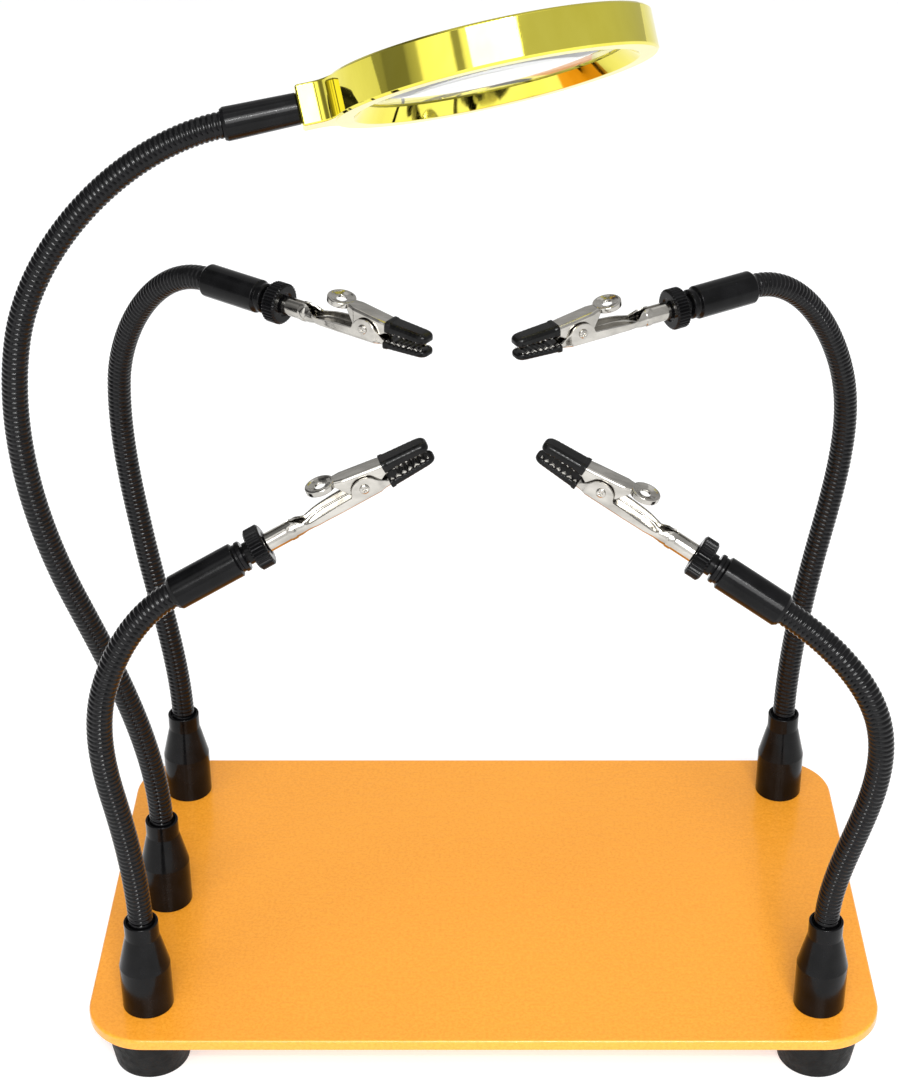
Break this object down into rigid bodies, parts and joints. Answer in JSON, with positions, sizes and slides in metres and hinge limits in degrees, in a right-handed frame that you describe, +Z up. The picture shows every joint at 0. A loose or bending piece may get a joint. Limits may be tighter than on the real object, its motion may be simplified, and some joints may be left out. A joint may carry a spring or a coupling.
{
  "type": "helping hands clamp",
  "caption": "Soldering helping-hands stand: flat plate on rubber feet carrying gooseneck arms with swivelling crocodile clips and a magnifier on a longer gooseneck.",
  "frame": {"origin": "centre of the whole object's footprint, at bench level; the plate's own centre is at x = +6.5 mm", "axes": "+Z up; +X to the right along the plate; +Y to the back, away from the side the work is done from"},
  "size_m": [0.2131, 0.12, 0.2648],
  "materials": {
    "plate_coat": "gloss",
    "black_enamel": "gloss",
    "neck_steel": "satin",
    "foot_rubber": "matte",
    "screw_steel": "satin",
    "clip_nickel": "polished",
    "sleeve_rubber": "satin",
    "spring_steel": "satin",
    "ring_gold": "polished",
    "lens_glass": "gloss"
  },
  "bodies": {
    "base": {"base_plate": "plate_coat", "rubber_feet": "foot_rubber", "base_screws": "screw_steel"},
    "front_left_lower": {"front_left_socket": "black_enamel", "front_left_gooseneck_lower": "neck_steel"},
    "front_left_middle": {"front_left_gooseneck_middle": "neck_steel"},
    "front_left_upper": {"front_left_gooseneck_upper": "neck_steel", "front_left_ferrule": "black_enamel"},
    "front_left_clip": {"front_left_thumb_screw": "black_enamel", "front_left_lower_jaw": "clip_nickel", "front_left_jaw_rivet": "clip_nickel", "front_left_jaw_spring": "spring_steel", "front_left_lower_sleeve": "sleeve_rubber"},
    "front_left_lever": {"front_left_upper_jaw": "clip_nickel", "front_left_upper_sleeve": "sleeve_rubber"},
    "front_right_lower": {"front_right_socket": "black_enamel", "front_right_gooseneck_lower": "neck_steel"},
    "front_right_middle": {"front_right_gooseneck_middle": "neck_steel"},
    "front_right_upper": {"front_right_gooseneck_upper": "neck_steel", "front_right_ferrule": "black_enamel"},
    "front_right_clip": {"front_right_thumb_screw": "black_enamel", "front_right_lower_jaw": "clip_nickel", "front_right_jaw_rivet": "clip_nickel", "front_right_jaw_spring": "spring_steel", "front_right_lower_sleeve": "sleeve_rubber"},
    "front_right_lever": {"front_right_upper_jaw": "clip_nickel", "front_right_upper_sleeve": "sleeve_rubber"},
    "back_left_lower": {"back_left_socket": "black_enamel", "back_left_gooseneck_lower": "neck_steel"},
    "back_left_middle": {"back_left_gooseneck_middle": "neck_steel"},
    "back_left_upper": {"back_left_gooseneck_upper": "neck_steel", "back_left_ferrule": "black_enamel"},
    "back_left_clip": {"back_left_thumb_screw": "black_enamel", "back_left_lower_jaw": "clip_nickel", "back_left_jaw_rivet": "clip_nickel", "back_left_jaw_spring": "spring_steel", "back_left_lower_sleeve": "sleeve_rubber"},
    "back_left_lever": {"back_left_upper_jaw": "clip_nickel", "back_left_upper_sleeve": "sleeve_rubber"},
    "back_right_lower": {"back_right_socket": "black_enamel", "back_right_gooseneck_lower": "neck_steel"},
    "back_right_middle": {"back_right_gooseneck_middle": "neck_steel"},
    "back_right_upper": {"back_right_gooseneck_upper": "neck_steel", "back_right_ferrule": "black_enamel"},
    "back_right_clip": {"back_right_thumb_screw": "black_enamel", "back_right_lower_jaw": "clip_nickel", "back_right_jaw_rivet": "clip_nickel", "back_right_jaw_spring": "spring_steel", "back_right_lower_sleeve": "sleeve_rubber"},
    "back_right_lever": {"back_right_upper_jaw": "clip_nickel", "back_right_upper_sleeve": "sleeve_rubber"},
    "magnifier_lower": {"magnifier_socket": "black_enamel", "magnifier_gooseneck_lower": "neck_steel"},
    "magnifier_middle": {"magnifier_gooseneck_middle": "neck_steel"},
    "magnifier_head": {"magnifier_gooseneck_upper": "neck_steel", "magnifier_ferrule": "black_enamel", "magnifier_ring": "ring_gold", "magnifier_retaining_ring": "ring_gold", "magnifier_lens": "lens_glass"}
  },
  "joints": [
    {"name": "front_left_swivel", "type": "hinge", "parent": "base", "child": "front_left_lower", "pos_m": [-0.0785, -0.0455, 0.022], "axis": [0, 0, 1], "range_deg": [-75, 75]},
    {"name": "front_left_lower_bend", "type": "hinge", "parent": "front_left_lower", "child": "front_left_middle", "pos_m": [-0.08211, -0.04631, 0.0819], "axis": [0.2181, -0.9759, 0], "range_deg": [-40, 45]},
    {"name": "front_left_upper_bend", "type": "hinge", "parent": "front_left_middle", "child": "front_left_upper", "pos_m": [-0.08162, -0.0462, 0.1127], "axis": [0.2181, -0.9759, 0], "range_deg": [-40, 45]},
    {"name": "front_left_clip_swivel", "type": "hinge", "parent": "front_left_upper", "child": "front_left_clip", "pos_m": [-0.04786, -0.03865, 0.1444], "axis": [0.8779, 0.1962, 0.4368], "continuous": true},
    {"name": "front_left_jaw_open", "type": "hinge", "parent": "front_left_clip", "child": "front_left_lever", "pos_m": [-0.02106, -0.03266, 0.15996], "axis": [0.2181, -0.9759, 0], "range_deg": [-3, 22], "stiffness_Nm_per_rad": 0.08, "springref_deg": -28.65, "deforming": ["front_left_jaw_spring"]},
    {"name": "front_right_swivel", "type": "hinge", "parent": "base", "child": "front_right_lower", "pos_m": [0.0915, -0.0455, 0.022], "axis": [0, 0, -1], "range_deg": [-75, 75]},
    {"name": "front_right_lower_bend", "type": "hinge", "parent": "front_right_lower", "child": "front_right_middle", "pos_m": [0.09756, -0.04757, 0.0769], "axis": [0.3239, 0.9461, 0], "range_deg": [-40, 45]},
    {"name": "front_right_upper_bend", "type": "hinge", "parent": "front_right_middle", "child": "front_right_upper", "pos_m": [0.09822, -0.0478, 0.106], "axis": [0.3239, 0.9461, 0], "range_deg": [-40, 45]},
    {"name": "front_right_clip_swivel", "type": "hinge", "parent": "front_right_upper", "child": "front_right_clip", "pos_m": [0.05997, -0.03471, 0.13883], "axis": [-0.8377, 0.2868, 0.4648], "continuous": true},
    {"name": "front_right_jaw_open", "type": "hinge", "parent": "front_right_clip", "child": "front_right_lever", "pos_m": [0.03447, -0.02597, 0.15524], "axis": [0.3239, 0.9461, 0], "range_deg": [-3, 22], "stiffness_Nm_per_rad": 0.08, "springref_deg": -28.65, "deforming": ["front_right_jaw_spring"]},
    {"name": "back_left_swivel", "type": "hinge", "parent": "base", "child": "back_left_lower", "pos_m": [-0.0785, 0.0455, 0.022], "axis": [0, 0, -1], "range_deg": [-75, 62]},
    {"name": "back_left_lower_bend", "type": "hinge", "parent": "back_left_lower", "child": "back_left_middle", "pos_m": [-0.08595, 0.05055, 0.0956], "axis": [-0.5606, -0.8281, 0], "range_deg": [-40, 45]},
    {"name": "back_left_upper_bend", "type": "hinge", "parent": "back_left_middle", "child": "back_left_upper", "pos_m": [-0.08951, 0.05296, 0.1445], "axis": [-0.5606, -0.8281, 0], "range_deg": [-40, 45]},
    {"name": "back_left_clip_swivel", "type": "hinge", "parent": "back_left_upper", "child": "back_left_clip", "pos_m": [-0.04638, 0.02375, 0.18037], "axis": [0.8277, -0.5604, -0.0279], "continuous": true},
    {"name": "back_left_jaw_open", "type": "hinge", "parent": "back_left_clip", "child": "back_left_lever", "pos_m": [-0.02026, 0.00607, 0.18149], "axis": [-0.5606, -0.8281, 0], "range_deg": [-3, 22], "stiffness_Nm_per_rad": 0.08, "springref_deg": -28.65, "deforming": ["back_left_jaw_spring"]},
    {"name": "back_right_swivel", "type": "hinge", "parent": "base", "child": "back_right_lower", "pos_m": [0.0915, 0.0455, 0.022], "axis": [0, 0, 1], "range_deg": [-75, 75]},
    {"name": "back_right_lower_bend", "type": "hinge", "parent": "back_right_lower", "child": "back_right_middle", "pos_m": [0.09752, 0.04866, 0.0968], "axis": [-0.4648, 0.8854, 0], "range_deg": [-40, 45]},
    {"name": "back_right_upper_bend", "type": "hinge", "parent": "back_right_middle", "child": "back_right_upper", "pos_m": [0.10115, 0.05057, 0.1446], "axis": [-0.4648, 0.8854, 0], "range_deg": [-40, 45]},
    {"name": "back_right_clip_swivel", "type": "hinge", "parent": "back_right_upper", "child": "back_right_clip", "pos_m": [0.05682, 0.02729, 0.17724], "axis": [-0.884, -0.4641, -0.0558], "continuous": true},
    {"name": "back_right_jaw_open", "type": "hinge", "parent": "back_right_clip", "child": "back_right_lever", "pos_m": [0.02887, 0.01262, 0.17748], "axis": [-0.4648, 0.8854, 0], "range_deg": [-3, 22], "stiffness_Nm_per_rad": 0.08, "springref_deg": -28.65, "deforming": ["back_right_jaw_spring"]},
    {"name": "magnifier_swivel", "type": "hinge", "parent": "base", "child": "magnifier_lower", "pos_m": [-0.0785, -0.004, 0.022], "axis": [0, 0, 1], "range_deg": [-45, 75]},
    {"name": "magnifier_lower_bend", "type": "hinge", "parent": "magnifier_lower", "child": "magnifier_middle", "pos_m": [-0.09429, -0.00656, 0.1126], "axis": [0.1599, -0.9871, 0], "range_deg": [-12, 40]},
    {"name": "magnifier_upper_bend", "type": "hinge", "parent": "magnifier_middle", "child": "magnifier_head", "pos_m": [-0.1013, -0.00769, 0.1838], "axis": [0.1599, -0.9871, 0], "range_deg": [-15, 45]}
  ]
}
